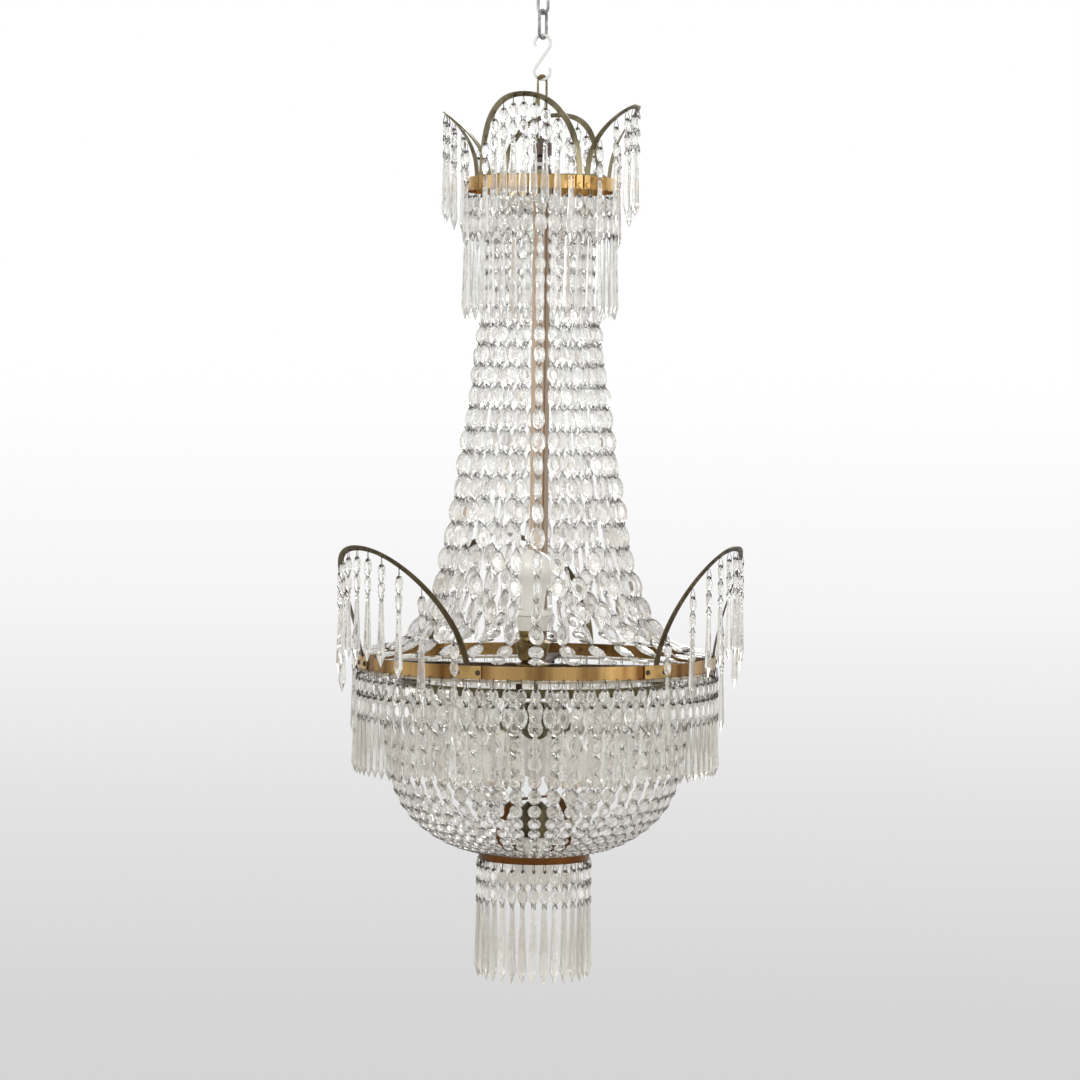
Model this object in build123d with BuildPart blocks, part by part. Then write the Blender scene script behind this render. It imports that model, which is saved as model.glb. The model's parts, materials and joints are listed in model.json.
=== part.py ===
from build123d import *

import os
from math import acos, cos, degrees, pi, radians, sin

# A crystal chandelier in the Gustavian and Empire basket form, about a metre tall: a tent of crystal
# strands over a brass ring, a crystal bowl under it, three hoop arches standing on the ring, and a
# crown of four smaller hoops. Millimetres, +Z up. The origin is where the top chain link bears on the
# ceiling hook, the front faces -Y, and every height named below is above the main ring's middle.

# Driving dimensions: overall places
crown_drop = 255.0  # from the bearing point in the top link down to the crown ring's middle
crown_height = 545.0  # middle of the crown ring
tent_top_drop = 22.0  # of the small ring that the tent strands start from, below the crown ring
bottom_height = -224.0  # middle of the bottom ring
front = -90.0  # polar angle of the side that faces the viewer

# Chain, hook and stirrup
chain_wire = 3.5
link_length = 35.6
link_width = 17.4
chain_turn = 55.0  # degrees between the top link's plane and the front
hook_wire = 3.5
hook_bend = 9.0  # centre-line radius of both bends of the S
stirrup_wire = 2.6
stirrup_width = 16.6
stirrup_turn = 45.0  # degrees between the stirrup's plane and the front
hang_clear = 0.3  # between two wires that hang in each other
seat_clear = 0.3  # between a piece and what it is seated on

# Rings: radius of the outer face, height and thickness of the band
main_ring_radius = 206.0
main_band = 15.0
band_thickness = 1.5
crown_ring_radius = 86.0
crown_band = 15.0
tent_ring_radius = 58.0
tent_ring_wire = 4.0
strand_ring_wire = 3.0
lamp_ring_radius = 156.0
lamp_ring_height = -26.0
lamp_band = 10.0
bottom_ring_radius = 64.0
bottom_band = 8.0

# Arches: flat straps bent to a hoop that curls outward, on a foot plate riveted to the ring.
# Each arch: its middle in degrees from the front, positive to the right, half the angle between
# its feet, how far its top reaches beyond the ring, and its rise. They were bent by hand and differ.
strap_width = 6.6
strap_thickness = 1.6
plate_thickness = 1.8
main_arches = {"left": (-46.5, 25.3, 65.0, 135.0), "right": (69.0, 29.2, 32.0, 135.0),
               "back": (189.5, 28.0, 40.0, 135.0)}
crown_arches = ((-10.5, 40.0, 25.0, 95.0), (76.3, 40.0, 25.0, 89.0), (170.0, 40.0, 25.0, 90.0),
                (263.6, 40.0, 25.0, 82.0))
main_curl = 1.6  # power of the height by which a hoop leans out, 1 being a flat hoop
crown_curl = 2.5
main_roundness = (0.91, 0.89)  # powers of cosine and sine that give the hoop's outline
crown_roundness = (0.86, 0.8)
hoop_sections = 24
rivet_radius = 1.6
rivet_head_radius = 3.0
rivet_head_height = 1.4
rivet_head_taper = 25.0
rivet_clear = 0.15
crown_rivet_drop = 3.8  # of the crown's rivets below the middle of its band
main_rivet_spread = 12.0  # of the main rivets to both sides of the strap

# Stem, rod and turned pieces
stem_radius = 9.25
stem_wall = 1.2
rod_radius = 2.3
rod_clear = 0.25
knob_radius = 12.2
knob_rise = 50.0  # of the knob's top above the crown ring's middle
knob_height = 36.0
stirrup_rise = 126.0  # of the stirrup's top above the crown ring's middle
lead_radius = 2.6
nut_across = 8.0
nut_height = 4.0
spider_bar_width = 12.0
spider_bar_height = 5.0
spider_top = -3.0
spider_turn = -7.0  # degrees of its front bar, which carries the standing lamp, from the front
hub_radius = 20.0
crown_bar_width = 8.0
crown_bar_height = 3.0

# Lamps: golf-ball bulbs with an E14 cap
bulb_radius = 22.5
bulb_length = 71.0  # of the glass, from its round end to the cap
bulb_neck_radius = 12.5
cap_radius = 6.8
cap_length = 24.0
lamp_gap = 4.25  # between the standing lamp's bulb and the stem
vase_height = 40.0
vase_radius = 20.7
cup_height = 17.0
collar_height = 7.0
collar_radius = 23.0
cup_wall = 1.6
holder_radius = 10.5
holder_wall = 1.5
low_lamp_angles = (-60.0, 60.0, 180.0)  # degrees from the front
low_lamp_tilt = 35.0  # outward from straight down
low_hub_height = -52.0
low_hub_radius = 14.0
low_hub_thickness = 8.0
low_arm = 6.0  # from the hub's rim to a low lampholder's back
bracket_top = -157.0
bracket_width = 9.0
bracket_thickness = 1.8
bracket_shoulder = 42.0  # half width of its flat top
bracket_knee = -185.0
bracket_bend = 24.0
bracket_turn = 50.0  # degrees between its plane and the front
bottom_holder_radius = 17.2
bottom_holder_length = 40.0

# Crystals: numbers, and width, length and thickness of each form
bead_gap = 0.75  # left for the wire link between two crystals
bead_thickness = 4.0
crown_fringe_count = 36
crown_ovals = ((13.0, 26.0), (13.5, 24.0))
crown_icicle_length = 94.0
tent_count = 29  # odd, so that the far strands show between the near ones
tent_rows = 24
tent_first_pitch = 12.5
tent_first_width = 12.0
tent_last_width = 17.0
tent_settling = 2.0  # power by which its pitch and width settle toward the foot, 1 being evenly
tent_twist = 60.0  # degrees at most that a tent crystal hangs turned about its wires
tent_straight_rows = 2  # at the foot, beside the arches, where they lie flat
main_fringe_count = 84
main_button = (11.0, 26.0)
main_oval = (14.0, 26.5)
main_icicle_length = 65.5
# Points of the tent and the bowl between their rings, as shares of the main radius and of the height
tent_shape = ((0.3185, 0.7193), (0.4243, 0.411), (0.534, 0.1853), (0.6311, 0.0862))
bowl_count = 48
bowl_shape = ((0.8107, 0.5536), (0.7427, 0.7277), (0.6019, 0.8661))
bowl_rows = 15
bowl_first_pitch = 23.0
bowl_first_width = 17.0
bowl_last_width = 11.5
bottom_fringe_count = 32
bottom_ovals = ((11.6, 24.5), (11.6, 20.5))
bottom_icicle_length = 90.0
icicle_width = 8.6
icicle_shoulder = 0.8  # share of the length above the widest place
side_room = 0.92  # widest share of the room between two strands that a crystal fills
main_arch_drops = 11
crown_arch_drops = 9
main_drop_reach = 0.97  # of the outermost drops, as a share of the arch's half width
crown_drop_reach = 0.9
arch_button = (11.0, 24.0)
arch_oval = (10.0, 18.0)
main_arch_icicle = 76.0
crown_arch_icicle = 74.0
loose_drops = (2, 12, 24, 34, 52, 64)  # places on the main fringe whose icicle is free to swing

# Worked out from the sizes above
link_pitch = link_length - 2 * chain_wire - hang_clear
link_centres = [chain_wire - link_length / 2 - step * link_pitch for step in range(3)]
hook_bearing = link_centres[-1] - link_length / 2 + chain_wire + hang_clear
stirrup_inner_top = stirrup_rise - crown_drop - stirrup_wire
ring_drop = crown_drop + crown_height
tent_top_height = crown_height - tent_top_drop
knob_top = crown_height + knob_rise
knob_foot = knob_top - knob_height
lamp_offset = stem_radius + bulb_radius + lamp_gap

os.makedirs("parts", exist_ok=True)


def level(height):
    """The place on the Z axis of a height above the main ring's middle."""
    return height - ring_drop


def write(builder, name):
    """One finished piece under its name."""
    builder.part.label = name
    export_step(builder.part, f"parts/{name}.step")


def write_group(name, solids):
    """Many equal crystals that touch nowhere, kept as separate solids instead of one fused part."""
    group = Compound(list(solids))
    group.label = name
    export_step(group, f"parts/{name}.step")


def facing(radius, angle, height):
    """A place on a circle: X runs along the circle, Y points to the axis, Z up. Degrees from the front."""
    turn = radians(front + angle)
    origin = (radius * cos(turn), radius * sin(turn), level(height))
    return Plane(origin=origin, x_dir=(-sin(turn), cos(turn), 0), z_dir=(0, 0, 1))


def around(radius, count, height, start=0.0):
    """Evenly spaced places on a circle."""
    return [facing(radius, start + 360 * step / count, height) for step in range(count)]


# --------------------------------------------------------------------------- chain, hook, stirrup


def make_link(name, centre, plane):
    """One long chain link: round wire along two straights and two half circles."""
    bend = (link_width - chain_wire) / 2
    reach = link_length / 2 - chain_wire / 2 - bend
    with BuildPart() as link:
        with BuildLine(plane.offset(0)) as path:
            Line((bend, -reach), (bend, reach))
            ThreePointArc((bend, reach), (0, reach + bend), (-bend, reach))
            Line((-bend, reach), (-bend, -reach))
            ThreePointArc((-bend, -reach), (0, -reach - bend), (bend, -reach))
        with BuildSketch(Plane(origin=path.line @ 0, z_dir=path.line % 0)):
            Circle(chain_wire / 2)
        sweep(path=path.line)
    link.part.position = (0, 0, centre)
    write(link, name)


top_plane = Plane(origin=(0, 0, 0), x_dir=Vector(1, 0, 0).rotate(Axis.Z, chain_turn),
                  z_dir=Vector(0, -1, 0).rotate(Axis.Z, chain_turn))
side_plane = Plane(origin=(0, 0, 0), x_dir=Vector(1, 0, 0).rotate(Axis.Z, chain_turn + 90),
                   z_dir=Vector(0, -1, 0).rotate(Axis.Z, chain_turn + 90))
for number, (centre, plane) in enumerate(zip(link_centres, (top_plane, side_plane, top_plane)), 1):
    make_link(f"chain_link_{number}", centre, plane)

# The S hook lies across the last link: upper bend over the link, diagonal, lower bend under the stirrup
hook_top = hook_bearing + hook_wire / 2
hook_low = stirrup_inner_top - hook_wire / 2 - hang_clear
upper_centre = hook_top - hook_bend
lower_centre = hook_low + hook_bend
with BuildPart() as s_hook:
    with BuildLine(Plane.XZ) as path:
        upper = CenterArc((0, upper_centre), hook_bend, 205, -235)
        lower = CenterArc((0, lower_centre), hook_bend, 150, 235)
        Spline(upper @ 1, lower @ 0, tangents=(upper % 1, lower % 0))
    with BuildSketch(Plane(origin=path.line @ 0, z_dir=path.line % 0)):
        Circle(hook_wire / 2)
    sweep(path=path.line)
write(s_hook, "s_hook")

# The stirrup is a narrow hairpin whose legs end in two blind holes of the knob
leg_depth = 8.0
leg_spread = (stirrup_width - stirrup_wire) / 2
stirrup_crown = stirrup_inner_top + stirrup_wire / 2 - leg_spread
stirrup_foot = level(knob_top) - leg_depth
stirrup_plane = Plane(origin=(0, 0, 0), x_dir=Vector(1, 0, 0).rotate(Axis.Z, stirrup_turn),
                      z_dir=Vector(0, -1, 0).rotate(Axis.Z, stirrup_turn))
with BuildPart() as hanging_stirrup:
    with BuildLine(stirrup_plane) as path:
        Line((leg_spread, stirrup_foot), (leg_spread, stirrup_crown))
        ThreePointArc((leg_spread, stirrup_crown), (0, stirrup_crown + leg_spread),
                      (-leg_spread, stirrup_crown))
        Line((-leg_spread, stirrup_crown), (-leg_spread, stirrup_foot))
    with BuildSketch(Plane(origin=path.line @ 0, z_dir=path.line % 0)):
        Circle(stirrup_wire / 2)
    sweep(path=path.line)
write(hanging_stirrup, "hanging_stirrup")

# --------------------------------------------------------------------------- knob, rod and stem

hole_radius = rod_radius + rod_clear
with BuildPart() as top_knob:
    with BuildSketch(Plane.XZ) as profile:
        with BuildLine():
            Polyline((hole_radius, level(knob_foot)), (stem_radius + 3, level(knob_foot)),
                     (stem_radius + 3, level(knob_foot + 4)), (6.5, level(knob_foot + 14)),
                     (6.5, level(knob_foot + 18)), (knob_radius, level(knob_foot + 21)),
                     (knob_radius, level(knob_top - 2)))
            RadiusArc((knob_radius, level(knob_top - 2)), (knob_radius - 2, level(knob_top)), -2)
            Polyline((knob_radius - 2, level(knob_top)), (hole_radius, level(knob_top)),
                     (hole_radius, level(knob_foot)))
        make_face()
    revolve(axis=Axis.Z)
    with BuildSketch(Plane.XY.offset(level(knob_top))):
        with PolarLocations(leg_spread, 2, start_angle=stirrup_turn):
            Circle(stirrup_wire / 2 + rivet_clear)
    extrude(amount=-leg_depth - seat_clear, mode=Mode.SUBTRACT)
write(top_knob, "top_knob")

rod_top = knob_top + nut_height + 3
rod_foot = bracket_top - bracket_thickness - nut_height
with BuildPart() as centre_rod:
    with BuildSketch(Plane.XY.offset(level(rod_foot))):
        Circle(rod_radius)
    extrude(amount=rod_top - rod_foot)
write(centre_rod, "centre_rod")

nut_feet = (knob_top, spider_top - spider_bar_height - nut_height, rod_foot)
with BuildPart() as rod_nuts:
    for foot in nut_feet:
        with BuildSketch(Plane.XY.offset(level(foot))):
            RegularPolygon(nut_across / 2, 6, major_radius=False)
            Circle(hole_radius, mode=Mode.SUBTRACT)
        extrude(amount=nut_height)
write(rod_nuts, "rod_nuts")

stem_foot = spider_top
with BuildPart() as stem_tube:
    with BuildSketch(Plane.XY.offset(level(stem_foot))):
        Circle(stem_radius)
        Circle(stem_radius - stem_wall, mode=Mode.SUBTRACT)
    extrude(amount=knob_foot - crown_bar_height - stem_foot)
write(stem_tube, "stem_tube")

# The lead runs straight down beside the stem, a hair from it, and ends on the spider
lead_place = facing(stem_radius + lead_radius + seat_clear, 50, spider_top + seat_clear)
with BuildPart() as flex_lead:
    with BuildSketch(lead_place):
        Circle(lead_radius)
    extrude(amount=knob_foot - crown_bar_height - spider_top - 2 * seat_clear)
write(flex_lead, "flex_lead")

# --------------------------------------------------------------------------- rings


def make_band(name, radius, height, middle, holes=(), hole_drop=0.0):
    """A flat metal band bent to a circle, with a hole for each rivet's shank."""
    with BuildPart() as band:
        with BuildSketch(Plane.XY.offset(level(middle - height / 2))):
            Circle(radius)
            Circle(radius - band_thickness, mode=Mode.SUBTRACT)
        extrude(amount=height)
        for angle in holes:
            place = facing(radius, angle, middle - hole_drop)
            with BuildSketch(Plane(origin=place.origin, z_dir=place.y_dir)):
                Circle(rivet_radius + rivet_clear)
            extrude(amount=2 * band_thickness, both=True, mode=Mode.SUBTRACT)
    write(band, name)


def make_ring_wire(name, radius, wire, middle):
    """A round wire bent to a circle."""
    with BuildPart() as ring:
        with BuildSketch(Plane.XZ):
            with Locations((radius, level(middle))):
                Circle(wire / 2)
        revolve(axis=Axis.Z)
    write(ring, name)


def rivet_angles(arches, steps):
    """The rivets' angles: steps from each foot of each arch."""
    return [arch[0] + side * arch[1] + step for arch in arches for side in (-1, 1) for step in steps]


main_step = degrees(main_rivet_spread / main_ring_radius)
main_steps = (-main_step, main_step)
crown_steps = (0.0,)
main_rivets = rivet_angles(main_arches.values(), main_steps)
crown_rivets = rivet_angles(crown_arches, crown_steps)
make_band("main_ring", main_ring_radius, main_band, 0, main_rivets)
make_band("crown_ring", crown_ring_radius, crown_band, crown_height, crown_rivets, crown_rivet_drop)
make_band("lamp_ring", lamp_ring_radius, lamp_band, lamp_ring_height)
make_band("bottom_ring", bottom_ring_radius, bottom_band, bottom_height)
make_ring_wire("tent_ring", tent_ring_radius, tent_ring_wire, tent_top_height)
strand_ring_radius = main_ring_radius - band_thickness - strand_ring_wire / 2 - seat_clear
strand_ring_height = spider_top - spider_bar_height - seat_clear - strand_ring_wire / 2
make_ring_wire("strand_ring", strand_ring_radius, strand_ring_wire, strand_ring_height)

# --------------------------------------------------------------------------- arches


def outward(point):
    """The level direction from the axis to a point."""
    return Vector(point.X, point.Y, 0).normalized()


class Hoop:
    """The middle line of a bent strap: it stands up from its ring and curls outward to its top."""

    def __init__(self, ring_radius, middle, curl, roundness, arch):
        self.foot = ring_radius + seat_clear + plate_thickness / 2
        self.middle, self.curl = middle, curl
        self.centre, self.half_span, overhang, self.rise = arch
        self.apex_radius = ring_radius + overhang
        self.chord = self.foot * cos(radians(self.half_span))
        self.side_power, self.top_power = roundness

    def across(self, turn):
        """The distance beside the hoop's middle at a turn of 0 at one foot to pi at the other."""
        reach = self.foot * sin(radians(self.half_span))
        return reach * abs(cos(turn)) ** self.side_power * (1 if turn < pi / 2 else -1)

    def point(self, turn):
        share = sin(turn) ** self.top_power
        out = self.chord + (self.apex_radius - self.chord) * share ** self.curl
        place = facing(out, self.centre, self.middle + self.rise * share)
        return place.origin + place.x_dir * self.across(turn)

    def section(self, turn):
        """The plane across the strap, with x through its thickness to its outer side."""
        share = sin(turn) ** self.top_power
        lean = (self.apex_radius - self.chord) * self.curl * share ** (self.curl - 1) / self.rise
        normal = (outward(self.point(turn)) - Vector(0, 0, lean)).normalized()
        step = 0.002
        along = self.point(min(turn + step, pi)) - self.point(max(turn - step, 0.0))
        return Plane(origin=self.point(turn), x_dir=normal, z_dir=along - normal * along.dot(normal))

    def turns(self, count):
        """Turns of points that lie evenly along the line, both feet among them."""
        fine = 720
        points = [self.point(pi * step / fine) for step in range(fine + 1)]
        lengths = [0.0]
        for here, there in zip(points, points[1:]):
            lengths.append(lengths[-1] + (there - here).length)
        found = []
        for number in range(count):
            goal = lengths[-1] * number / (count - 1)
            nearest = min(range(fine + 1), key=lambda step: abs(lengths[step] - goal))
            found.append(pi * nearest / fine)
        return found


def make_hoop(hoop, ring_radius, band, steps, rivet_drop):
    """One arch: a bent strap fused to its two foot plates, which lie on the ring's outer face."""
    with BuildPart() as arch:
        for turn in hoop.turns(hoop_sections):
            with BuildSketch(hoop.section(turn)):
                Rectangle(strap_thickness, strap_width)
        loft()
        for side in (-1, 1):
            angle = hoop.centre + side * hoop.half_span
            half_plate = radians(max(steps)) * ring_radius + rivet_head_radius + 1
            with BuildSketch(Plane.XY.offset(level(hoop.middle - band / 2 + seat_clear))):
                Circle(ring_radius + seat_clear + plate_thickness)
                Circle(ring_radius + seat_clear, mode=Mode.SUBTRACT)
                near = facing(ring_radius, angle, 0)
                with Locations(Location((near.origin.X, near.origin.Y, 0), (0, 0, front + angle))):
                    Rectangle(4 * band, 2 * half_plate, mode=Mode.INTERSECT)
            extrude(amount=band - 2 * seat_clear)
            for step in steps:
                place = facing(ring_radius, angle + step, hoop.middle - rivet_drop)
                with BuildSketch(Plane(origin=place.origin, z_dir=place.y_dir)):
                    Circle(rivet_radius + rivet_clear)
                extrude(amount=-4 * plate_thickness, mode=Mode.SUBTRACT)
    return arch


def make_rivets(name, ring_radius, middle, angles):
    """Round-headed rivets: the head lies on the foot plate, the shank goes through plate and ring."""
    face = ring_radius + seat_clear + plate_thickness
    with BuildPart() as rivets:
        for angle in angles:
            place = facing(face, angle, middle)
            plate = Plane(origin=place.origin, x_dir=place.x_dir, z_dir=-place.y_dir)
            with BuildSketch(plate):
                Circle(rivet_head_radius)
            extrude(amount=rivet_head_height, taper=rivet_head_taper)
            with BuildSketch(plate):
                Circle(rivet_radius)
            extrude(amount=-(plate_thickness + seat_clear + band_thickness))
    write(rivets, name)


main_hoops = {side: Hoop(main_ring_radius, 0, main_curl, main_roundness, arch)
              for side, arch in main_arches.items()}
crown_hoops = [Hoop(crown_ring_radius, crown_height, crown_curl, crown_roundness, arch)
               for arch in crown_arches]
for side, hoop in main_hoops.items():
    write(make_hoop(hoop, main_ring_radius, main_band, main_steps, 0.0), f"main_arch_{side}")
for number, hoop in enumerate(crown_hoops, 1):
    write(make_hoop(hoop, crown_ring_radius, crown_band, crown_steps, crown_rivet_drop),
          f"crown_arch_{number}")
make_rivets("main_rivets", main_ring_radius, 0, main_rivets)
make_rivets("crown_rivets", crown_ring_radius, crown_height - crown_rivet_drop, crown_rivets)

# --------------------------------------------------------------------------- spiders and bracket

# The crown spider is a cross of flat bars between the stem's top and the crown ring, bent down at
# both ends to the ring, with a hook under each bar that carries the tent's strand ring
crown_inner = crown_ring_radius - band_thickness - seat_clear
crown_bar_top = knob_foot
drop_start = crown_inner - 14
with BuildPart() as crown_spider:
    with BuildSketch(Plane.XZ) as bar_side:
        Polygon((0, level(crown_bar_top)), (drop_start, level(crown_bar_top)),
                (crown_inner, level(crown_height + 4)), (crown_inner, level(crown_height + 1)),
                (drop_start - 1, level(crown_bar_top - crown_bar_height)),
                (tent_ring_radius + 1.5, level(crown_bar_top - crown_bar_height)),
                (tent_ring_radius + 1.5, level(tent_top_height + tent_ring_wire / 2 + seat_clear)),
                (tent_ring_radius - 1.5, level(tent_top_height + tent_ring_wire / 2 + seat_clear)),
                (tent_ring_radius - 1.5, level(crown_bar_top - crown_bar_height)),
                (0, level(crown_bar_top - crown_bar_height)), align=None)
    extrude(amount=crown_bar_width / 2, both=True)
    with PolarLocations(0, 3, start_angle=90, angular_range=180, endpoint=True):
        add(crown_spider.part)
    with BuildSketch(Plane.XY.offset(level(crown_bar_top))):
        Circle(hole_radius)
    extrude(amount=-2 * crown_bar_height, mode=Mode.SUBTRACT)
write(crown_spider, "crown_spider")

# The main spider is a cross of dark bars inside the main ring, with a round plate under the stem
spider_reach = main_ring_radius - band_thickness - seat_clear
with BuildPart() as main_spider:
    with BuildSketch(Plane.XY.offset(level(spider_top))):
        Rectangle(2 * spider_reach, spider_bar_width, rotation=spider_turn)
        Rectangle(spider_bar_width, 2 * spider_reach, rotation=spider_turn)
        Circle(spider_reach - 0.1, mode=Mode.INTERSECT)
        Circle(hub_radius)
        Circle(hole_radius, mode=Mode.SUBTRACT)
    extrude(amount=-spider_bar_height)
write(main_spider, "main_spider")

# Four flat hangers carry the lamp ring from the spider's bars
hanger_inner = lamp_ring_radius - band_thickness - seat_clear
with BuildPart() as lamp_ring_hangers:
    hanger_top = spider_top - spider_bar_height
    hanger_foot = lamp_ring_height - lamp_band / 2
    for angle in (0, 90, 180, 270):
        place = facing(hanger_inner, angle + spider_turn, hanger_top)
        with BuildSketch(place):
            with Locations((0, strap_thickness / 2)):
                Rectangle(strap_width, strap_thickness)
        extrude(amount=hanger_foot - hanger_top)
write(lamp_ring_hangers, "lamp_ring_hangers")

# The bottom bracket is an inverted U: flat across the rod's end, down to the bottom ring's inner face
bracket_reach = bottom_ring_radius - band_thickness - seat_clear
bracket_foot = bottom_height - bottom_band / 2


def bracket_outline(inset):
    """The bracket's outer outline, or its inner one with the strap's thickness as inset."""
    reach = bracket_reach - inset
    shoulder = bracket_shoulder - inset / 2
    FilletPolyline((-reach, level(bracket_foot)), (-reach, level(bracket_knee)),
                   (-shoulder, level(bracket_top - inset)), (shoulder, level(bracket_top - inset)),
                   (reach, level(bracket_knee)), (reach, level(bracket_foot)), radius=bracket_bend)
    Line((-reach, level(bracket_foot)), (reach, level(bracket_foot)))


with BuildPart() as bottom_bracket:
    with BuildSketch(Plane.XZ):
        with BuildLine():
            bracket_outline(0)
        make_face()
        with BuildLine():
            bracket_outline(bracket_thickness)
        make_face(mode=Mode.SUBTRACT)
    extrude(amount=bracket_width / 2, both=True)
    with BuildSketch(Plane.XY.offset(level(bracket_top) + 1)):
        Circle(hole_radius)
    extrude(amount=-2 * bracket_thickness - 1, mode=Mode.SUBTRACT)
bottom_bracket.part.orientation = (0, 0, bracket_turn)
write(bottom_bracket, "bottom_bracket")

# --------------------------------------------------------------------------- lamps


def make_bulb_glass():
    """A golf-ball bulb's glass with its cap end at the origin and its round end up."""
    middle = bulb_length - bulb_radius
    with BuildPart() as glass:
        with BuildSketch(Plane.XZ):
            with BuildLine():
                Polyline((0, 0), (bulb_neck_radius, 0), (bulb_neck_radius + 0.5, 6))
                ThreePointArc((bulb_radius * cos(radians(-30)), middle + bulb_radius * sin(radians(-30))),
                              (bulb_radius, middle), (0, bulb_length))
                Spline((bulb_neck_radius + 0.5, 6),
                       (bulb_radius * cos(radians(-30)), middle + bulb_radius * sin(radians(-30))),
                       tangents=((0.1, 1), (sin(radians(30)), cos(radians(30)))))
                Line((0, bulb_length), (0, 0))
            make_face()
        revolve(axis=Axis.Z)
    return glass.part


def make_cap():
    """An E14 cap below the glass: a plain barrel with a narrow contact end."""
    with BuildPart() as cap:
        with BuildSketch(Plane.XZ):
            Polygon((0, 0), (cap_radius, 0), (cap_radius, -cap_length + 6),
                    (3, -cap_length + 2), (3, -cap_length), (0, -cap_length), align=None)
        revolve(axis=Axis.Z)
    return cap.part


def make_holder(radius, length, mouth):
    """A lampholder as a cup: the mouth is up and lies at the origin, its bore takes cap and neck."""
    with BuildPart() as holder:
        with BuildSketch(Plane.XZ):
            Polygon((0, -length), (radius - 2, -length), (radius, -length + 3), (radius, 0),
                    (radius - holder_wall, 0), (radius - holder_wall, -mouth),
                    (cap_radius + seat_clear, -mouth), (cap_radius + seat_clear, -cap_length - mouth),
                    (0, -cap_length - mouth), align=None)
        revolve(axis=Axis.Z)
    return holder.part


standing = Location(facing(lamp_offset, spider_turn, spider_top).location)
cup_foot = vase_height
collar_foot = cup_foot + cup_height
standing_seat = collar_foot + 4  # where the standing bulb's glass begins
upper_mouth = 2.0
upper_holder_length = cap_length + upper_mouth + 2
holder_sink = cup_foot - (standing_seat - upper_holder_length) + seat_clear

# The turned vase under the standing lamp: foot, full body, ridge, and a narrow neck below the cup
with BuildPart() as lamp_vase:
    with BuildSketch(Plane.XZ):
        with BuildLine():
            Polyline((0, 0), (19, 0), (19, 2), (12, 4.5), (15, 7))
            Spline((15, 7), (17.3, 14), (vase_radius, 24), tangents=((0.4, 1), (1, 0.6)))
            Polyline((vase_radius, 24), (vase_radius, 26.5), (15.5, 29.5))
            Spline((15.5, 29.5), (14.6, 33), (16.2, 37), tangents=((-0.4, 1), (0.6, 1)))
            Polyline((16.2, 37), (16.2, vase_height), (0, vase_height), (0, 0))
        make_face()
        with Locations((0, vase_height)):
            Rectangle(2 * holder_radius + 2 * seat_clear, 2 * holder_sink, mode=Mode.SUBTRACT)
    revolve(axis=Axis.Z)
lamp_vase.part.location = standing
write(lamp_vase, "lamp_vase")

with BuildPart() as candle_cup:
    with BuildSketch(Plane.XZ):
        Polygon((15.5, cup_foot), (collar_radius - 3, collar_foot),
                (collar_radius, collar_foot + 1), (collar_radius, collar_foot + collar_height),
                (collar_radius - cup_wall, collar_foot + collar_height),
                (collar_radius - cup_wall - 3, collar_foot), (15.5 - cup_wall, cup_foot + cup_wall),
                (holder_radius + seat_clear, cup_foot + cup_wall), (holder_radius + seat_clear, cup_foot),
                align=None)
    revolve(axis=Axis.Z)
candle_cup.part.location = standing
write(candle_cup, "candle_cup")

low_holder_radius = bulb_neck_radius + holder_wall + 1.2
low_mouth = 6.0
bottom_mouth = 14.0
low_holder_length = cap_length + low_mouth + 4


def down_out(angle):
    """The place of a low lampholder's mouth: its Z points down and outward."""
    turn = radians(front + angle)
    tilt = radians(low_lamp_tilt)
    radial = Vector(cos(turn), sin(turn), 0)
    axis = radial * sin(tilt) + Vector(0, 0, -cos(tilt))
    root = radial * low_hub_radius + Vector(0, 0, level(low_hub_height))
    return Plane(origin=root + axis * (low_holder_length + low_arm), z_dir=axis).location


down = Plane(origin=(0, 0, level(rod_foot - bottom_holder_length)), z_dir=(0, 0, -1)).location
up = standing * Pos(0, 0, standing_seat)
low_places = [down_out(angle) for angle in low_lamp_angles]
glass = make_bulb_glass()
cap = make_cap()
seat_shift = Pos(0, 0, seat_clear)

small_holder = make_holder(low_holder_radius, low_holder_length, low_mouth)
upper_holder = make_holder(holder_radius, upper_holder_length, upper_mouth)
upper_holder.location = up
upper_holder.label = "upper_lampholder"
export_step(upper_holder, "parts/upper_lampholder.step")
write_group("low_lampholders", [place * small_holder.solid() for place in low_places])
write_group("upper_bulb", [up * seat_shift * glass.solid()])
low_seat = Pos(0, 0, seat_clear - low_mouth)
bottom_seat = Pos(0, 0, seat_clear - bottom_mouth)
write_group("low_bulbs", [place * low_seat * glass.solid() for place in low_places])

# The bottom lampholder hangs under the bracket and is wide enough to take the bulb's neck
with BuildPart() as bottom_lampholder:
    with BuildSketch(Plane.XZ):
        Polygon((0, -bottom_holder_length), (9, -bottom_holder_length),
                (bottom_holder_radius, -bottom_holder_length + 8), (bottom_holder_radius, 0),
                (bottom_holder_radius - holder_wall, 0), (bottom_holder_radius - holder_wall, -bottom_mouth),
                (cap_radius + seat_clear, -bottom_mouth),
                (cap_radius + seat_clear, -bottom_mouth - cap_length),
                (0, -bottom_mouth - cap_length), align=None)
    revolve(axis=Axis.Z)
bottom_lampholder.part.location = down
write(bottom_lampholder, "bottom_lampholder")
write_group("bottom_bulb", [down * bottom_seat * glass.solid()])
cap_places = [up * seat_shift, down * bottom_seat, *[place * low_seat for place in low_places]]
write_group("bulb_caps", [place * cap.solid() for place in cap_places])

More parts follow.
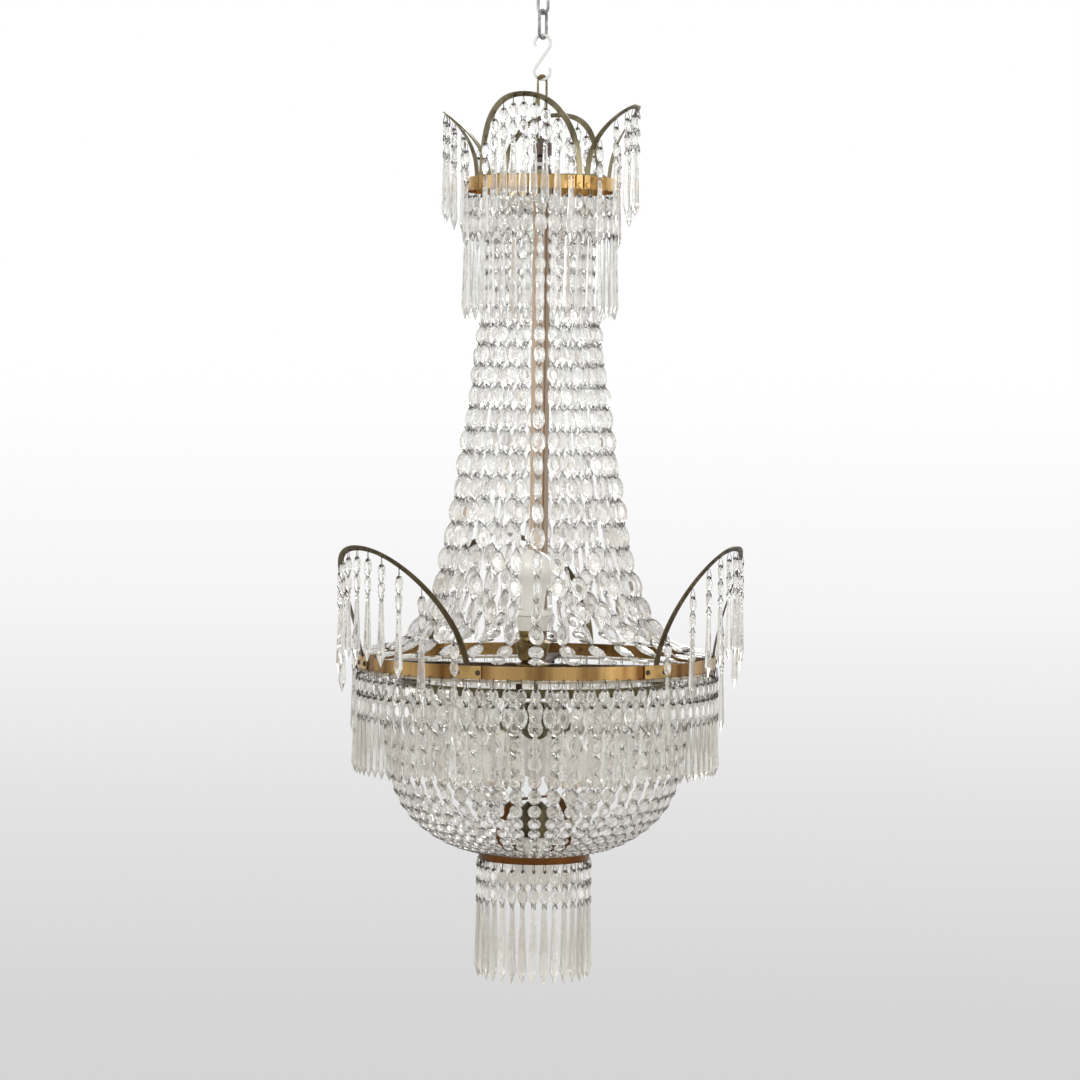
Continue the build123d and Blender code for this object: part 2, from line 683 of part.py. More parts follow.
# The low lamps' hub is a round boss on the rod with a short arm to each lampholder's back
with BuildPart() as lamp_hub:
    with BuildSketch(Plane.XY.offset(level(low_hub_height - low_hub_thickness / 2))):
        Circle(low_hub_radius)
        Circle(hole_radius, mode=Mode.SUBTRACT)
    extrude(amount=low_hub_thickness)
    for place in low_places:
        back = place * Pos(0, 0, -low_holder_length)
        with BuildSketch(Plane(back)):
            Circle(4)
        extrude(amount=-9)
    with BuildSketch(Plane.XY.offset(level(low_hub_height - 20))):
        Circle(hole_radius)
    extrude(amount=40, mode=Mode.SUBTRACT)
write(lamp_hub, "lamp_hub")

# --------------------------------------------------------------------------- crystals


def oval(width, length, thickness):
    """A flat oval that hangs down from the origin."""
    with BuildPart() as crystal:
        with BuildSketch(Plane.XZ):
            with Locations((0, -length / 2)):
                Ellipse(width / 2, length / 2)
        extrude(amount=thickness / 2, both=True)
    return crystal.part.solid()


def icicle(length):
    """A long drop that hangs down from the origin and is widest near its lower end."""
    with BuildPart() as crystal:
        with BuildSketch(Plane.XZ):
            Polygon((0, 0), (icicle_width / 2, -icicle_shoulder * length), (0, -length), align=None)
        revolve(axis=Axis.Z)
    return crystal.part.solid()


def uneven(row, step):
    """A share of -1 to 1 that differs from crystal to crystal and is the same in every build."""
    return sin(2.4 * row + 4.1 * step)


def hang(pieces, places):
    """Each piece at each place, one under the other with a wire's gap between them."""
    solids = []
    for place in places:
        depth = seat_clear
        for piece in pieces:
            solids.append(place.location * Pos(0, 0, -depth) * piece)
            depth += piece.bounding_box().size.Z + bead_gap
    return solids


def strand(line, rows, first_pitch, widths, count, settling=1.0, twist=0.0, straight_rows=0):
    """Flat ovals in rows along a line in the XZ plane, turned to every strand's place.

    The pitch and the width change from the first row to the last, evenly where settling is 1, and a
    crystal is never wider than the room between two strands. Each hangs turned about its wires by
    up to twist.
    """
    shares = [1 - (1 - row / (rows - 1)) ** settling for row in range(rows)]
    last_pitch = first_pitch + (line.length - rows * first_pitch) / sum(shares)
    first_width, last_width = widths
    solids = []
    start = 0.0
    for row, share in enumerate(shares):
        pitch = first_pitch + share * (last_pitch - first_pitch)
        above = line @ (start / line.length)
        below = line @ min((start + pitch) / line.length, 1.0)
        start += pitch
        room = side_room * 2 * pi * min(above.X, below.X) / count
        width = min(first_width + share * (last_width - first_width), room)
        chord = below - above
        crystal = oval(width, chord.length - bead_gap, bead_thickness)
        loose = twist if row < rows - straight_rows else 0.0
        for step in range(count):
            turn = front + 360 * step / count
            origin = Vector(above.X, 0, above.Z).rotate(Axis.Z, turn)
            along = chord.rotate(Axis.Z, turn)
            across = Vector(0, 1, 0).rotate(Axis.Z, turn)
            place = Plane(origin=origin, x_dir=across, z_dir=-along).location
            solids.append((step, place * Rot(0, 0, loose * uneven(row, step)) * crystal))
    return solids


def write_halves(name, count, solids):
    """A ring of strands as two nodes, the right and the left half of the strands."""
    write_group(f"{name}_right", [solid for step, solid in solids if step < count / 2])
    write_group(f"{name}_left", [solid for step, solid in solids if step >= count / 2])


with BuildLine(Plane.XZ) as tent_line:
    Spline((tent_ring_radius, level(tent_top_height - tent_ring_wire / 2 - seat_clear)),
           *[(wide * main_ring_radius, level(high * crown_height)) for wide, high in tent_shape],
           (main_ring_radius - 2, level(main_band / 2 + bead_thickness / 2 + seat_clear)))
write_halves("tent_strands", tent_count,
               strand(tent_line.edge(), tent_rows, tent_first_pitch, (tent_first_width, tent_last_width),
                      tent_count, tent_settling, tent_twist, tent_straight_rows))

with BuildLine(Plane.XZ) as bowl_line:
    Spline((strand_ring_radius, level(strand_ring_height - strand_ring_wire / 2 - 2 * seat_clear)),
           *[(wide * main_ring_radius, level(low * bottom_height)) for wide, low in bowl_shape],
           (bottom_ring_radius + 1.0, level(bottom_height + bottom_band / 2 + bead_thickness / 2 + 0.5)))
write_halves("bowl_strands", bowl_count,
               strand(bowl_line.edge(), bowl_rows, bowl_first_pitch, (bowl_first_width, bowl_last_width),
                      bowl_count))

crown_places = around(crown_ring_radius, crown_fringe_count, crown_height - crown_band / 2)
crown_pieces = [oval(*size, bead_thickness) for size in crown_ovals]
crown_solids = hang([*crown_pieces, icicle(crown_icicle_length)], crown_places)
write_group("crown_fringe_ovals", [solid for number, solid in enumerate(crown_solids) if number % 3 < 2])
write_group("crown_fringe_icicles", crown_solids[2::3])

fringe_radius = main_ring_radius + 1.5
fringe_places = around(fringe_radius, main_fringe_count, -main_band / 2)
fringe_pieces = [oval(*main_button, bead_thickness), oval(*main_oval, bead_thickness)]
fringe_solids = hang([*fringe_pieces, icicle(main_icicle_length)], fringe_places)
main_icicles = fringe_solids[2::3]
write_group("main_fringe_ovals", [solid for number, solid in enumerate(fringe_solids) if number % 3 < 2])
write_group("main_fringe_icicles",
            [solid for number, solid in enumerate(main_icicles) if number not in loose_drops])
for number, place in enumerate(loose_drops, 1):
    write_group(f"loose_icicle_{number}", [main_icicles[place]])

bottom_places = around(bottom_ring_radius, bottom_fringe_count, bottom_height - bottom_band / 2)
bottom_pieces = [oval(*size, bead_thickness) for size in bottom_ovals]
bottom_solids = hang([*bottom_pieces, icicle(bottom_icicle_length)], bottom_places)
write_group("bottom_fringe_ovals", [solid for number, solid in enumerate(bottom_solids) if number % 3 < 2])
write_group("bottom_fringe_icicles", bottom_solids[2::3])


def arch_drops(hoop, reach, count, icicle_length):
    """A button, an oval and an icicle from each of the hoop's places, in front of its inner edge.

    The places are evenly spaced across the hoop, out to reach as a share of its half width.
    """
    places = []
    for step in range(count):
        share = reach * (1 - 2 * step / (count - 1))
        turn = acos(abs(share) ** (1 / hoop.side_power) * (1 if share > 0 else -1))
        section = hoop.section(turn)
        edge = section.origin - section.y_dir * (strap_width / 2) + section.x_dir * (strap_thickness / 2)
        away = outward(edge)
        origin = edge + away * (bead_thickness / 2 + seat_clear)
        places.append(Plane(origin=origin, x_dir=Vector(0, 0, 1).cross(away), z_dir=(0, 0, 1)))
    pieces = [oval(*arch_button, bead_thickness), oval(*arch_oval, bead_thickness), icicle(icicle_length)]
    return hang(pieces, places)


for side, hoop in main_hoops.items():
    write_group(f"main_arch_{side}_drops",
                arch_drops(hoop, main_drop_reach, main_arch_drops, main_arch_icicle))
crown_drops = []
for hoop in crown_hoops:
    crown_drops += arch_drops(hoop, crown_drop_reach, crown_arch_drops, crown_arch_icicle)
write_group("crown_arch_drops", crown_drops)
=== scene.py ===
# %% [markdown]
# # A basket chandelier in crystal and brass
# The real thing hangs on a chain: a crown of four little hoops, a tent of graded flat ovals that
# comes down to a brass ring, three tall hoops hung with icicles round that ring, and a bowl of
# crystals under it that ends in a small ring with a fringe. Everything here is in metres, and the
# brass, the rods and the lamps come in at their true places, so we only dress them.

import json
from math import cos, pi, radians, sin

import bpy
import numpy as np
from mathutils import Matrix, Vector, kdtree


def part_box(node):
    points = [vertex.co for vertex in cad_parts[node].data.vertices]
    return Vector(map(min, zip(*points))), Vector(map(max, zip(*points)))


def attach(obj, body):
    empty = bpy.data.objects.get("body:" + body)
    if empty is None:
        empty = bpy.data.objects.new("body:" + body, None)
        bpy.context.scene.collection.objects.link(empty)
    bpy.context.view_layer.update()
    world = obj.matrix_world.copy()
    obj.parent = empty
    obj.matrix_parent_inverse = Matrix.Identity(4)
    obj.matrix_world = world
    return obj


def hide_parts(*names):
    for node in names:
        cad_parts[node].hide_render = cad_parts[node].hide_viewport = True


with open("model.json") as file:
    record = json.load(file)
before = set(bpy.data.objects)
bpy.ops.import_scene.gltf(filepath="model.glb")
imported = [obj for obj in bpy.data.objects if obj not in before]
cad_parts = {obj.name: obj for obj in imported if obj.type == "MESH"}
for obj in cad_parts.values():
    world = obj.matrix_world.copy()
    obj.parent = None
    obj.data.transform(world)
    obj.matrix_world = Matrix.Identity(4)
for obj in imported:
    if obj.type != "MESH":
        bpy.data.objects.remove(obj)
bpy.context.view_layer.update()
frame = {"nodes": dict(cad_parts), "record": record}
shapes = frame["nodes"]
body_of = {
    node: body
    for body, members in frame["record"]["behaviour"]["bodies"].items()
    for node in members
}

# %% [markdown]
# ## Shader maths that reads like arithmetic
# A finish is a small graph of nodes. Wiring each node by hand hides the idea, and painting images
# would tie the finish to one object. We wrap a socket in a class with overloaded operators
# instead, so that a mask can be written as `1 - wear * 0.5`, and one method makes every other node.

# %% A socket as a value
class Value:
    """A node's output that can be used in an expression."""

    def __init__(self, finish, socket):
        self.finish = finish
        self.socket = socket

    def maths(self, operation, first, second):
        return self.finish.node("ShaderNodeMath", {"operation": operation}, {0: first, 1: second})

    def __add__(self, other):
        return self.maths("ADD", self, other)

    def __sub__(self, other):
        return self.maths("SUBTRACT", self, other)

    def __mul__(self, other):
        return self.maths("MULTIPLY", self, other)

    def __truediv__(self, other):
        return self.maths("DIVIDE", self, other)

    def __rsub__(self, other):
        return self.maths("SUBTRACT", other, self)

    __radd__ = __add__
    __rmul__ = __mul__


# %% [markdown]
# The method that makes a node sets its settings first, because they can change which sockets it
# has, and then the values or links of its sockets. A ramp's stops are one of those settings.

# %% A finish and its nodes
class Finish:
    """A material, or the world, with its node tree."""

    def __init__(self, owner):
        owner.use_nodes = True
        self.owner = owner
        self.tree = owner.node_tree
        self.tree.nodes.clear()

    def node(self, kind, settings=(), sockets=(), output=0):
        made = self.tree.nodes.new(kind)
        for name, value in dict(settings).items():
            if name == "stops":
                self.set_stops(made.color_ramp, value)
            else:
                setattr(made, name, value)
        for name, value in dict(sockets).items():
            if isinstance(value, Value):
                self.tree.links.new(value.socket, made.inputs[name])
            else:
                made.inputs[name].default_value = value
        return Value(self, made.outputs[output]) if made.outputs else made

    def set_stops(self, ramp, stops):
        """Stops as (place, grey) or (place, (red, green, blue))."""
        while len(ramp.elements) < len(stops):
            ramp.elements.new(0.5)
        for element, (place, tone) in zip(ramp.elements, stops):
            element.position = place
            red, green, blue = tone if isinstance(tone, tuple) else (tone, tone, tone)
            element.color = (red, green, blue, 1)

    def ramp(self, value, *stops):
        return self.node("ShaderNodeValToRGB", {"stops": stops}, {"Fac": value})

    def place(self):
        """The point on the object, in metres."""
        return self.node("ShaderNodeTexCoord", output="Object")

    def noise(self, scale, detail, stretch=(1, 1, 1)):
        spot = self.node("ShaderNodeMapping", (), {"Vector": self.place(), "Scale": stretch})
        sockets = {"Vector": spot, "Scale": scale, "Detail": detail, "Roughness": 0.55}
        return self.node("ShaderNodeTexNoise", (), sockets)

    def blend(self, share, first, second):
        """Two colours or Values mixed by a share from 0 to 1."""
        first, second = ((*c, 1) if isinstance(c, tuple) else c for c in (first, second))
        sockets = {0: share, 6: first, 7: second}
        return self.node("ShaderNodeMix", {"data_type": "RGBA"}, sockets, output=2)

    def bump(self, height, distance, strength):
        sockets = {"Height": height, "Distance": distance, "Strength": strength}
        return self.node("ShaderNodeBump", (), sockets)

    def surface(self, **sockets):
        """A Principled shader whose sockets are given with _ for a space."""
        named = {name.replace("_", " "): value for name, value in sockets.items()}
        return self.node("ShaderNodeBsdfPrincipled", (), named)

    def finish(self, shader):
        kind = "World" if isinstance(self.owner, bpy.types.World) else "Material"
        self.node(f"ShaderNodeOutput{kind}", (), {"Surface": shader})
        print("finish", self.owner.name, "with", len(self.tree.nodes), "nodes")
        return self.owner


# %% [markdown]
# ## Old metal
# Brass that hung in a room for decades is never one colour: handled places stay bright, hollows
# turn brown, and a fine grain of pits dulls the shine. One cloudy noise picks the tarnished
# patches, a finer one breaks their borders, and both also drive the roughness, because tarnish
# is duller than bright metal. A faint bump gives the hammered and pitted skin.

# %% Metal with patches of tarnish
def aged_metal(name, bright, dull, scale, gloss, dullness=0.5, cover=0.5):
    """Mottled old metal: bright where it is handled, dull where the tarnish lies."""
    made = Finish(bpy.data.materials.new(name))
    cloud = made.noise(scale, 5.0)
    grain = made.noise(scale * 14, 3.0)
    mask = made.ramp(cloud * 0.72 + grain * 0.28, (cover - 0.07, 0.0), (cover + 0.09, 1.0))
    tone = made.blend(mask, bright, dull)
    speck = made.ramp(made.noise(scale * 40, 2.0), (0.6, 0.0), (0.72, 1.0))
    dark = tuple(channel * 0.45 for channel in dull)
    tone = made.blend(speck * 0.6, tone, dark)
    shader = made.surface(
        Base_Color=tone,
        Metallic=1.0,
        Roughness=mask * (dullness - gloss) + gloss + grain * 0.08,
        Normal=made.bump(grain + cloud * 0.6, 0.00048, 0.35),
    )
    return made.finish(shader)


brass_brown = aged_metal("brown_brass", (0.14, 0.056, 0.015), (0.055, 0.023, 0.008),
                         scale=18, gloss=0.3, cover=0.56)
olive_brass = aged_metal("olive_brass", (0.17, 0.138, 0.075), (0.06, 0.048, 0.026),
                         scale=40, gloss=0.3, cover=0.54)
turned_brass = aged_metal("turned_brass", (0.24, 0.17, 0.07), (0.11, 0.07, 0.028),
                          scale=50, gloss=0.2, cover=0.55)
dark_bronze = aged_metal("dark_bronze", (0.10, 0.07, 0.045), (0.04, 0.028, 0.02), scale=40, gloss=0.3)
dark_steel = aged_metal("dark_steel", (0.20, 0.17, 0.13), (0.08, 0.065, 0.05), scale=60, gloss=0.3)
strand_wire = aged_metal("strand_wire", (0.085, 0.068, 0.05), (0.03, 0.024, 0.018), scale=90, gloss=0.35)
stirrup_bronze = aged_metal("stirrup_bronze", (0.27, 0.22, 0.145), (0.12, 0.09, 0.055), scale=45, gloss=0.32)
cap_metal = aged_metal("cap_metal", (0.62, 0.58, 0.50), (0.35, 0.31, 0.25), scale=80, gloss=0.22)
zinc_chain = aged_metal("zinc_chain", (0.42, 0.42, 0.42), (0.20, 0.20, 0.205),
                        scale=90, gloss=0.32, dullness=0.55, cover=0.52)

# %% [markdown]
# ## Brushed bands
# The two big rings were drawn through rollers and rubbed bright across their width, so they are far
# smoother than the cast parts: no patches, but fine upright scratches. Their base colour also has
# painted reflections: a slow drift from brown to gold along the band and upright light and dark
# bands. A noise that is stretched along Z gives the scratches, and another gives the painted bands.
# The straps of the arches share the recipe with a darker skin, and their riveted feet, which lie at
# the height of a ring, are bare brass again. A compare on the height finds them.

# %% Bands and straps
ring_heights = (-0.8, -0.255)  # of the middles of the main ring and the crown ring
foot_reach = 0.0077  # half the height of a foot plate, and a little more


def brushed_band(name, light, deep, drift, gloss, feet=None):
    """A rolled band with fine upright brushing and painted light and dark reflection bands; feet is the
    colour of plates at a ring's height.
    """
    made = Finish(bpy.data.materials.new(name))
    # Painted reflections: the slow noise and the upright steps make the light and deep bands of the base
    # colour.
    slow = made.noise(drift, 2.0, stretch=(1, 1, 0.2))
    cloud = made.noise(38, 4.0)
    brush = made.noise(520, 2.0, stretch=(1, 1, 0.03))
    steps = made.noise(drift * 4, 2.0, stretch=(1, 1, 0.05))
    painted_sheen_bands = made.ramp(slow * 0.45 + steps * 0.55, (0.42, 0.0), (0.56, 1.0))
    tone = made.blend(painted_sheen_bands, deep, light)
    shade = made.ramp(brush * 0.5 + cloud * 0.5, (0.3, 0.0), (0.7, 1.0))
    tone = made.blend((1 - shade) * 0.2, tone, tuple(channel * 0.55 for channel in deep))
    if feet:
        height = made.node("ShaderNodeSeparateXYZ", (), {0: made.place()}, output=2)
        at_main, at_crown = (
            made.node("ShaderNodeMath", {"operation": "COMPARE"}, {0: height, 1: ring, 2: foot_reach})
            for ring in ring_heights
        )
        tone = made.blend(at_main + at_crown, tone, feet)
    shader = made.surface(
        Base_Color=tone,
        Metallic=1.0,
        Roughness=cloud * 0.16 + brush * 0.08 + (gloss - 0.1),
        Normal=made.bump(brush + cloud * 0.3, 0.00012, 0.3),
    )
    return made.finish(shader)


brass_main = brushed_band("golden_brass", (0.52, 0.33, 0.13), (0.17, 0.078, 0.022), drift=8, gloss=0.22)
brass_crown = brushed_band("bright_brass", (0.84, 0.58, 0.25), (0.46, 0.26, 0.08), drift=12, gloss=0.18)
feet_brass = (0.46, 0.30, 0.12)
strap_dark = brushed_band("dark_strap", (0.155, 0.12, 0.068), (0.075, 0.055, 0.03),
                          drift=11, gloss=0.34, feet=feet_brass)
strap_bronze = brushed_band("bronze_strap", (0.36, 0.31, 0.20), (0.17, 0.145, 0.085),
                            drift=11, gloss=0.33, feet=feet_brass)

# %% [markdown]
# ## Painted, lacquered and glazed parts
# The hook is white enamel, the knob brown lacquer, the stem has beige paint, the cup is white and
# the bulbs are milky glass. None of these is metal to the eye, so they share one recipe: a base
# colour with slow variation, a scatter of darker scuffs, and a clear coat where the real one shines.

# %% Coated parts
def coated(name, colour, scuff, scale, rough, coat=0.0, cover=0.66):
    """Paint, lacquer or milky glass with scuffs, and a clear coat where coat is over 0."""
    made = Finish(bpy.data.materials.new(name))
    slow = made.noise(scale, 3.0)
    fine = made.noise(scale * 16, 4.0)
    shade = made.blend(slow, tuple(c * 1.06 for c in colour), tuple(c * 0.88 for c in colour))
    marks = made.ramp(fine * 0.7 + slow * 0.3, (cover - 0.05, 0.0), (cover + 0.03, 1.0))
    shader = made.surface(
        Base_Color=made.blend(marks, shade, scuff),
        Roughness=fine * 0.12 + marks * 0.2 + (rough - 0.05),
        Coat_Weight=coat,
        Coat_Roughness=0.06,
        Normal=made.bump(fine, 0.0002, 0.3),
    )
    return made.finish(shader)


white_enamel = coated("white_enamel", (0.80, 0.80, 0.78), (0.50, 0.48, 0.44), scale=60, rough=0.25, coat=0.5)
brown_knob = coated("brown_knob", (0.062, 0.028, 0.014), (0.16, 0.08, 0.04), scale=90, rough=0.28, coat=0.9)
beige_stem = coated("beige_stem", (0.55, 0.41, 0.29), (0.33, 0.23, 0.15), scale=35, rough=0.4, coat=0.25)
brown_lead = coated("brown_lead", (0.33, 0.245, 0.175), (0.22, 0.155, 0.11), scale=60, rough=0.5)
white_cup = coated("white_cup", (0.80, 0.77, 0.71), (0.55, 0.50, 0.43), scale=50, rough=0.32, coat=0.4)
milky_glass = coated("milky_glass", (0.82, 0.79, 0.735), (0.68, 0.63, 0.56),
                     scale=24, rough=0.2, coat=0.6, cover=0.72)
olive_lacquer = coated("olive_lacquer", (0.25, 0.22, 0.10), (0.12, 0.09, 0.05),
                       scale=70, rough=0.35, coat=0.3, cover=0.6)
pale_wire = coated("pale_wire", (0.50, 0.44, 0.34), (0.25, 0.19, 0.13), scale=90, rough=0.4, cover=0.58)

# %% [markdown]
# ## Cut crystal
# Old lead glass is not window glass: fine scratches and a film of dust scatter part of the light, so
# each drop looks softly milky with a bright rim. Clear bending glass alone would be too hard, so
# most of it bends light and a small share scatters it. Every drop gets its own faint tint, from
# clear through slightly green to warm smoke, by a number that is random for each loose island of
# the mesh. The crystals of the crown and the tent are the clearest, and lower down they are greyer
# and darker, which a ramp over the height gives. Only the edges are drawn in grey: facets that are
# seen edge on get a painted shade in their base colour, which stands in for the darker look of
# glass seen the longest way through, and that is what outlines each drop. Lamps shine through it
# on shadow rays, because otherwise the many layers would leave the inside black.

# %% The crystal finish
clear_tints = ((0.98, 0.98, 0.965), (0.95, 0.955, 0.935), (0.935, 0.93, 0.91), (0.91, 0.895, 0.87))
lower_tints = ((0.94, 0.925, 0.89), (0.86, 0.85, 0.80), (0.815, 0.79, 0.74), (0.74, 0.69, 0.645))
lower_tints_below = -0.875  # at this height and lower crystals have the lower tints, 0.35 above it the clear ones


def cut_crystal():
    made = Finish(bpy.data.materials.new("crystal"))
    chance = made.node("ShaderNodeNewGeometry", output="Random Per Island")
    shares = (0.0, 0.35, 0.7, 1.0)
    clear = made.ramp(chance, *zip(shares, clear_tints))
    low_tone = made.ramp(chance, *zip(shares, lower_tints))
    # Darker and greyer towards the bottom: a ramp over the height blends the lower tints into the clear ones.
    height = made.node("ShaderNodeSeparateXYZ", (), {0: made.place()}, output=2)
    upper = made.ramp((height - lower_tints_below) * 2, (0.0, 0.0), (0.7, 1.0))
    tint = made.blend(upper, low_tone, clear)
    # Painted shade: facets seen edge on are greyed in the base colour, and that grey outlines each drop.
    edge = made.node("ShaderNodeLayerWeight", (), {"Blend": 0.5}, output="Facing")
    dust = made.noise(210, 4.0)
    ripple = made.noise(90, 3.0)
    dusty = made.blend(made.ramp(dust, (0.45, 0.0), (0.75, 0.4)), tint, (0.74, 0.72, 0.68))
    glass = made.surface(
        Base_Color=made.blend(made.ramp(edge, (0.5, 0.0), (0.92, 0.8)), dusty, (0.50, 0.48, 0.44)),
        Roughness=made.ramp(dust, (0.35, 0.01), (0.8, 0.09)),
        IOR=1.5,
        Transmission_Weight=0.86,
        Normal=made.bump(ripple, 0.0012, 0.3),
    )
    through = made.node("ShaderNodeBsdfTransparent")
    lamp_ray = made.node("ShaderNodeLightPath", output="Is Shadow Ray")
    return made.finish(made.node("ShaderNodeMixShader", (), {0: lamp_ray * 0.85, 1: glass, 2: through}))


crystal = cut_crystal()

# %% [markdown]
# ## Dressing the metal and the lamps
# The chain, the rings, the straps and the lamps already have their true shape, so they stay and
# only take a finish. A table of finish to pieces is easier to read and to repaint than one line
# for each piece.

# %% Which piece has which finish
dress = {
    zinc_chain: ("chain_link_1", "chain_link_2", "chain_link_3"),
    white_enamel: ("s_hook",),
    strap_dark: ("main_arch_left", "main_arch_right", "main_arch_back"),
    strap_bronze: ("crown_arch_1", "crown_arch_2", "crown_arch_3", "crown_arch_4"),
    brown_knob: ("top_knob",),
    dark_steel: ("centre_rod", "rod_nuts", "lamp_hub"),
    beige_stem: ("stem_tube",),
    brown_lead: ("flex_lead",),
    brass_main: ("main_ring",),
    brass_crown: ("crown_ring", "crown_rivets"),
    brass_brown: ("bottom_ring", "bottom_bracket"),
    pale_wire: ("tent_ring", "strand_ring"),
    stirrup_bronze: ("hanging_stirrup",),
    dark_bronze: ("main_spider", "main_rivets", "lamp_ring_hangers"),
    olive_brass: ("lamp_ring", "bottom_lampholder", "low_lampholders", "upper_lampholder"),
    olive_lacquer: ("crown_spider",),
    turned_brass: ("lamp_vase",),
    white_cup: ("candle_cup",),
    milky_glass: ("upper_bulb", "low_bulbs", "bottom_bulb"),
    cap_metal: ("bulb_caps",),
}
for finish, names in dress.items():
    for name in names:
        shape = shapes[name]
        shape.data.materials.clear()
        shape.data.materials.append(finish)
        for face in shape.data.polygons:
            face.material_index = 0
print("dressed", sum(len(names) for names in dress.values()), "pieces")

# %% [markdown]
# ## Finding the loose crystals
# Each string of crystals comes in as one mesh of many plain ovals or drops. To cut facets on each
# of them we need its middle, its size and the way it points. Corners at one spot are welded, the
# edges then join them to islands, and the spread of an island's corners gives its three axes.

# %% Islands of a mesh
def islands(node):
    """The corners of each loose solid of a node, as arrays."""
    mesh = shapes[node].data
    corners = np.empty(len(mesh.vertices) * 3, np.float32)
    mesh.vertices.foreach_get("co", corners)
    spots, spot_of = np.unique(np.round(corners.reshape(-1, 3), 6), axis=0, return_inverse=True)
    ends = np.empty(len(mesh.edges) * 2, np.int32)
    mesh.edges.foreach_get("vertices", ends)
    first, second = spot_of.ravel()[ends.reshape(-1, 2)].T
    label = np.arange(len(spots))
    while True:
        lower = np.minimum(label[first], label[second])
        joined = label.copy()
        np.minimum.at(joined, first, lower)
        np.minimum.at(joined, second, lower)
        joined = joined[joined]
        if (joined == label).all():
            break
        label = joined
    return [spots[label == one].astype(float) for one in np.unique(label)]


# %% [markdown]
# An island's corners tell how its crystal stands. The longest of its three axes runs along it, and
# the thinnest one comes out of its flat face. An icicle is as thick as it is wide, so its thinnest
# axis says nothing, and its front is simply turned away from the chandelier's middle.

# %% The stance of one crystal
class Drop:
    """A crystal's middle, its size, its ends and its axes: across, out of its face, and up along it."""

    def __init__(self, corners, round_body):
        middle = corners.mean(0)
        spread = np.linalg.svd(corners - middle, full_matrices=False)[2]
        reach = [np.ptp(corners @ axis) for axis in spread]
        order = np.argsort(reach)[::-1]
        along = spread[order[0]]
        along = along * (1 if along[2] >= 0 else -1)
        out = np.array((middle[0], middle[1], 0.0)) if round_body else spread[order[2]]
        out = out - along * (out @ along)
        out = out / np.linalg.norm(out)
        out = out * (1 if out @ (middle[0], middle[1], 0.0) >= 0 else -1)
        self.axes = np.array((np.cross(out, along), out, along))
        low, high = (corners @ self.axes.T).min(0), (corners @ self.axes.T).max(0)
        self.size = high - low
        self.middle = (low + high) / 2 @ self.axes
        self.top = self.middle + along * self.size[2] / 2
        self.foot = self.middle - along * self.size[2] / 2

    def frame(self, origin, size=(1, 1, 1)):
        """Three columns of scaled axes and the origin."""
        return np.column_stack((self.axes.T * size, origin))


oval_nodes = [n for n in shapes if n.endswith(("_fringe_ovals", "strands_left", "strands_right"))]
icicle_nodes = [n for n in shapes if n.endswith("_fringe_icicles") or n.startswith("loose_icicle")]
arch_nodes = [n for n in shapes if n.endswith("_drops")]
shortest_icicle = 0.045  # what is longer is an icicle, and what is shorter an oval
drops = {node: [Drop(solid, node in icicle_nodes) for solid in islands(node)]
         for node in oval_nodes + icicle_nodes}
for node in arch_nodes:
    drops[node] = [Drop(solid, np.ptp(solid[:, 2]) > shortest_icicle) for solid in islands(node)]
print("crystals:", sum(len(found) for found in drops.values()))

# %% [markdown]
# ## Cutting the ovals and the icicles
# A cut oval has a thin waist, a row of slanting facets on either face and a flat table in the
# middle. Rings of corners, each turned by half a step against the last, give the kite-shaped facets
# of the real ones. An icicle widens from a narrow eye to its shoulder low down and ends in a long
# point. The icicles on the arches have two turned collars under the eye. All are made once at
# size 1 and then stamped out at every place.

# %% One oval and the two icicles
def rings_to_faces(rings, steps, twist):
    """Faces between rings of corners, as triangles where the next ring is turned."""
    faces = []
    for ring in range(rings - 1):
        for step in range(steps):
            here, there = ring * steps + step, ring * steps + (step + 1) % steps
            up, up_there = here + steps, there + steps
            faces += [(here, there, up), (there, up_there, up)] if twist else [(here, there, up_there, up)]
    return faces


def oval_pattern(steps=12):
    """A flat cut oval, 1 wide, 1 thick and 1 long, with its table to the front and the back."""
    def ring(share, depth, turn):
        angles = [2 * pi * (step + turn) / steps for step in range(steps)]
        return [(0.5 * share * sin(a), depth, 0.5 * share * cos(a)) for a in angles]

    levels = [(0.46, -0.5, 1.0), (0.80, -0.34, 0.5), (1.0, -0.09, 0.0),
              (1.0, 0.09, 0.0), (0.80, 0.34, -0.5), (0.46, 0.5, -1.0)]
    corners = [corner for share, depth, turn in levels for corner in ring(share, depth, turn)]
    last = (len(levels) - 1) * steps
    tables = [tuple(range(steps)), tuple(reversed(range(last, last + steps)))]
    return np.array(corners), rings_to_faces(len(levels), steps, True) + tables


def icicle_pattern(profile, sides=6, turn=0.0):
    """A bar with flat sides whose width follows a profile of (height, width); turn 0 has a ridge in front."""
    corners = []
    for up, wide in profile:
        for side in range(sides):
            angle = 2 * pi * (side + turn) / sides
            reach = 0.5 * wide / cos(pi / sides)
            corners.append((reach * sin(angle), reach * cos(angle), up))
    last = (len(profile) - 1) * sides
    ends = [tuple(range(sides)), tuple(reversed(range(last, last + sides)))]
    return np.array(corners), rings_to_faces(len(profile), sides, False) + ends


